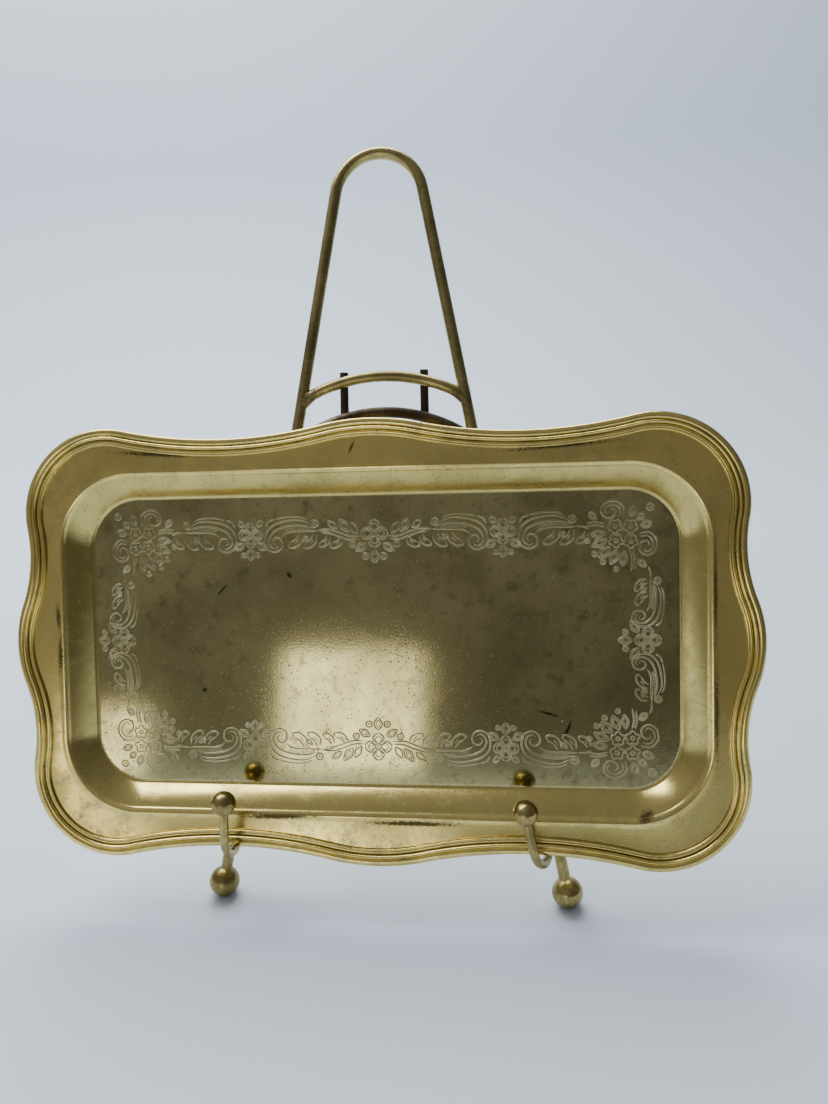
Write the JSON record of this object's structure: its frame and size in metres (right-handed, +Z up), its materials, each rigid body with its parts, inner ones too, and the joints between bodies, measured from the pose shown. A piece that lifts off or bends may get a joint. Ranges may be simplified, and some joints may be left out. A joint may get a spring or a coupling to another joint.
{
  "type": "tray on easel",
  "caption": "Scalloped rectangular brass tray with an engraved well, held upright by the hooks of a folding brass wire easel.",
  "frame": {"origin": "middle of the footprint at the level of the surface that the easel stands on", "axes": "+Z up, +X to the right as seen by someone who faces the tray, +Y from the viewer towards the rear leg"},
  "size_m": [0.381, 0.1756, 0.3792],
  "materials": {
    "tray_brass": "polished brass, tarnished and speckled in the engraved well",
    "easel_brass": "antiqued dark brass with brighter worn highlights",
    "easel_brass_dark": "dark brown antiqued brass",
    "ball_brass": "antiqued brass, satin"
  },
  "bodies": {
    "easel_frame": {"front_loop": "easel_brass", "upper_arch": "easel_brass", "lower_arch": "easel_brass_dark", "hinge_bar": "easel_brass_dark", "hinge_collar_left": "easel_brass_dark", "hinge_collar_right": "easel_brass_dark", "hook_left": "easel_brass", "hook_right": "easel_brass", "hook_ball_left": "ball_brass", "hook_ball_right": "ball_brass", "foot_ball_left": "ball_brass", "foot_ball_right": "ball_brass"},
    "rear_support": {"rear_leg": "easel_brass_dark", "hinge_sleeve_left": "easel_brass_dark", "hinge_sleeve_right": "easel_brass_dark"},
    "tray": {"tray_pan": "tray_brass", "tray_border": "tray_brass"}
  },
  "joints": [
    {"name": "rear_leg_fold", "type": "hinge", "parent": "easel_frame", "child": "rear_support", "pos_m": [0.005, -0.00733, 0.22126], "axis": [-1, 0, 0], "range_deg": [0, 38]},
    {"name": "tray_lift_off", "type": "slide", "parent": "easel_frame", "child": "tray", "axis": [0, 0.2588, 0.9659], "range_m": [0, 0.38]}
  ]
}
